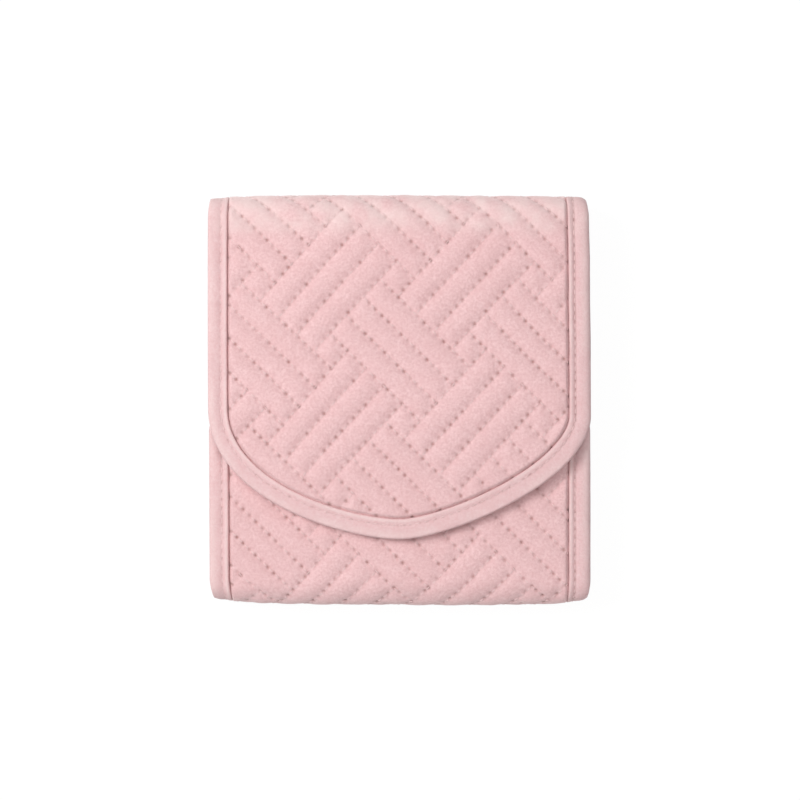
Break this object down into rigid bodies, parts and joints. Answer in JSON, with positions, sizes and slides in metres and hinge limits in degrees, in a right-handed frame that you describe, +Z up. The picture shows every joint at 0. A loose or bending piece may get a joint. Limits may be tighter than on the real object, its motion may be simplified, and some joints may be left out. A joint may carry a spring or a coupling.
{
  "type": "travel jewelry organizer",
  "caption": "Folding quilted soft case for jewelry with a curved snap flap, a zip pocket, a ring bar, an earring page and necklace tabs inside.",
  "frame": {"origin": "centre of the closed case's footprint, on the plane that its back panel rests on", "axes": "+X to the right and +Y towards the top fold as seen on the flap side, +Z up out of the flap"},
  "size_m": [0.14, 0.15, 0.03],
  "materials": {
    "velvet": "matte suede-like velvet, quilted",
    "lining": "matte suede-like velvet",
    "binding": "matte folded cloth tape",
    "board": "plain stiffener board",
    "elastic": "ribbed elastic",
    "zip_tape": "woven tape",
    "gold": "polished pale gold plating",
    "steel": "plain"
  },
  "bodies": {
    "back": {"back_quilt": "velvet", "back_lining": "lining", "back_binding_left": "binding", "back_binding_right": "binding", "back_board": "board", "zip_pocket_panel": "lining", "zip_top_strip": "lining", "zip_row_lower": "zip_tape", "zip_row_upper": "zip_tape", "ring_bar_anchor": "lining", "ring_bar_stud": "gold", "necklace_tab_strip": "lining", "necklace_stud_1": "gold", "necklace_stud_2": "gold", "necklace_stud_3": "gold", "necklace_stud_4": "gold"},
    "top_spine": {"top_spine_quilt": "velvet", "top_spine_lining": "lining", "top_spine_binding_left": "binding", "top_spine_binding_right": "binding"},
    "flap": {"flap_quilt": "velvet", "flap_board": "board", "flap_lining": "lining", "flap_binding": "binding", "flap_snap_washer": "steel", "flap_snap_post": "gold", "flap_pocket": "lining", "flap_pocket_elastic": "elastic"},
    "bottom_spine": {"bottom_spine_quilt": "velvet", "bottom_spine_lining": "lining", "bottom_spine_binding_left": "binding", "bottom_spine_binding_right": "binding", "earring_page_strip": "lining"},
    "front": {"front_quilt": "velvet", "front_board": "board", "front_lining": "lining", "front_binding": "binding", "front_snap_cup": "gold", "front_snap_magnet": "steel", "front_snap_washer": "steel", "front_pocket": "lining"},
    "earring_page": {"earring_page": "lining", "earring_page_binding": "binding"},
    "ring_bar": {"ring_bar_strap": "lining", "ring_bar_roll": "velvet", "ring_bar_socket": "gold"},
    "zip_slider": {"zip_slider": "gold"},
    "zip_pull": {"zip_pull": "gold"},
    "necklace_tab_1": {"necklace_tab_1": "lining", "necklace_socket_1": "gold"},
    "necklace_tab_2": {"necklace_tab_2": "lining", "necklace_socket_2": "gold"},
    "necklace_tab_3": {"necklace_tab_3": "lining", "necklace_socket_3": "gold"},
    "necklace_tab_4": {"necklace_tab_4": "lining", "necklace_socket_4": "gold"}
  },
  "joints": [
    {"name": "top_spine_fold", "type": "hinge", "parent": "back", "child": "top_spine", "pos_m": [0, 0.07307, 0.00193], "axis": [-1, 0, 0], "range_deg": [0, 90]},
    {"name": "flap_fold", "type": "hinge", "parent": "top_spine", "child": "flap", "pos_m": [0, 0.07307, 0.02807], "axis": [-1, 0, 0], "range_deg": [0, 90]},
    {"name": "bottom_spine_fold", "type": "hinge", "parent": "back", "child": "bottom_spine", "pos_m": [0, -0.07307, 0.00193], "axis": [1, 0, 0], "range_deg": [0, 90]},
    {"name": "front_fold", "type": "hinge", "parent": "bottom_spine", "child": "front", "pos_m": [0, -0.07307, 0.02227], "axis": [1, 0, 0], "range_deg": [0, 90]},
    {"name": "earring_page_turn", "type": "hinge", "parent": "bottom_spine", "child": "earring_page", "pos_m": [0, -0.0681, 0.0121], "axis": [1, 0, 0], "range_deg": [0, 86]},
    {"name": "ring_bar_swing", "type": "hinge", "parent": "back", "child": "ring_bar", "pos_m": [-0.0505, 0.017, 0.0058], "axis": [0, -1, 0], "range_deg": [0, 68]},
    {"name": "zip_slide", "type": "slide", "parent": "back", "child": "zip_slider", "axis": [-1, 0, 0], "range_m": [0, 0.096]},
    {"name": "zip_pull_lift", "type": "hinge", "parent": "zip_slider", "child": "zip_pull", "pos_m": [0.048, 0, 0.0099], "axis": [0, 1, 0], "range_deg": [0, 90]},
    {"name": "necklace_tab_1_lift", "type": "hinge", "parent": "back", "child": "necklace_tab_1", "pos_m": [-0.0405, 0.0555, 0.0058], "axis": [-1, 0, 0], "range_deg": [0, 135]},
    {"name": "necklace_tab_2_lift", "type": "hinge", "parent": "back", "child": "necklace_tab_2", "pos_m": [-0.0135, 0.0555, 0.0058], "axis": [-1, 0, 0], "range_deg": [0, 135]},
    {"name": "necklace_tab_3_lift", "type": "hinge", "parent": "back", "child": "necklace_tab_3", "pos_m": [0.0135, 0.0555, 0.0058], "axis": [-1, 0, 0], "range_deg": [0, 135]},
    {"name": "necklace_tab_4_lift", "type": "hinge", "parent": "back", "child": "necklace_tab_4", "pos_m": [0.0405, 0.0555, 0.0058], "axis": [-1, 0, 0], "range_deg": [0, 135]}
  ],
  "couplings": [
    {"joint": "top_spine_fold", "follows": "flap_fold", "ratio": 1},
    {"joint": "bottom_spine_fold", "follows": "flap_fold", "ratio": 1},
    {"joint": "front_fold", "follows": "flap_fold", "ratio": 1},
    {"joint": "earring_page_turn", "follows": "flap_fold", "ratio": 0.95},
    {"joint": "ring_bar_swing", "follows": "flap_fold", "ratio": 0.75},
    {"joint": "necklace_tab_1_lift", "follows": "flap_fold", "ratio": 1.5},
    {"joint": "necklace_tab_2_lift", "follows": "flap_fold", "ratio": 1.5},
    {"joint": "necklace_tab_3_lift", "follows": "flap_fold", "ratio": 1.5},
    {"joint": "necklace_tab_4_lift", "follows": "flap_fold", "ratio": 1.5}
  ]
}
